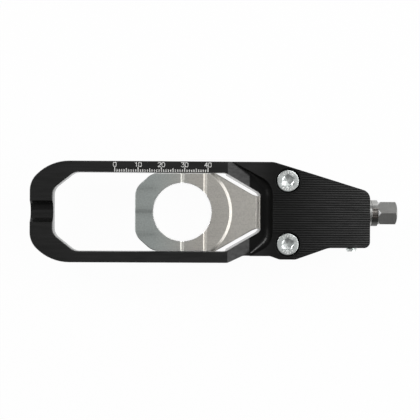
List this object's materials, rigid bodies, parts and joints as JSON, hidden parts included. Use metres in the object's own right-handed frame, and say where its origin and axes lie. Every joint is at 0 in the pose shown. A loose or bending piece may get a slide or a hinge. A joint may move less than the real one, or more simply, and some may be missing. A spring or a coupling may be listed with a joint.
{
  "type": "motorcycle chain adjuster",
  "caption": "Swing-arm chain adjuster: slotted side plate with a scale, sliding axle block with a through bore, and a hexagon adjuster nut at the nose that draws the block along.",
  "frame": {"origin": "centre of the axle bore, on the back face that lies on the ground", "axes": "+X along the swing arm toward the hexagon, +Y across the plate toward the rail with the scale, +Z out of the scale face along the axle"},
  "size_m": [0.1594, 0.0436, 0.022],
  "materials": {
    "black_anodised": "machined and black anodised, satin",
    "bare_aluminium": "brushed, clear anodised",
    "turned_steel": "turned, fine circular marks",
    "plated_steel": "bright zinc plate",
    "spring_steel": "phosphated",
    "bearing_bronze": "sintered",
    "seal_rubber": "matt",
    "pad_plastic": "smooth"
  },
  "bodies": {
    "housing": {"adjuster_body": "black_anodised", "rear_clamp_plate": "black_anodised", "inner_bush": "bearing_bronze", "outer_bush": "bearing_bronze", "retaining_washer": "plated_steel", "seal_ring": "seal_rubber", "thrust_washer": "turned_steel", "upper_clamp_screw": "plated_steel", "lower_clamp_screw": "plated_steel", "upper_dowel": "turned_steel", "lower_dowel": "turned_steel"},
    "adjuster": {"adjuster_nut": "turned_steel", "thrust_collar": "turned_steel", "collar_pin": "turned_steel", "retaining_ring": "spring_steel"},
    "block": {"axle_block": "bare_aluminium", "pull_stud": "turned_steel", "stud_pin": "turned_steel"},
    "pad": {"lock_pad": "pad_plastic"},
    "lock": {"lock_screw": "plated_steel"}
  },
  "joints": [
    {"name": "adjuster_turn", "type": "hinge", "parent": "housing", "child": "adjuster", "pos_m": [0.0814, 0, 0.011], "axis": [1, 0, 0], "range_deg": [0, 11880]},
    {"name": "block_slide", "type": "slide", "parent": "housing", "child": "block", "axis": [-1, 0, 0], "range_m": [0, 0.033]},
    {"name": "pad_slide", "type": "slide", "parent": "housing", "child": "pad", "axis": [0, -1, 0], "range_m": [0, 0.001]},
    {"name": "lock_turn", "type": "hinge", "parent": "pad", "child": "lock", "pos_m": [0.0745, -0.012, 0.011], "axis": [0, -1, 0], "range_deg": [0, 450]}
  ],
  "couplings": [
    {"joint": "adjuster_turn", "follows": "block_slide", "rad_per_m": 6283.2},
    {"joint": "lock_turn", "follows": "pad_slide", "rad_per_m": 7854}
  ]
}
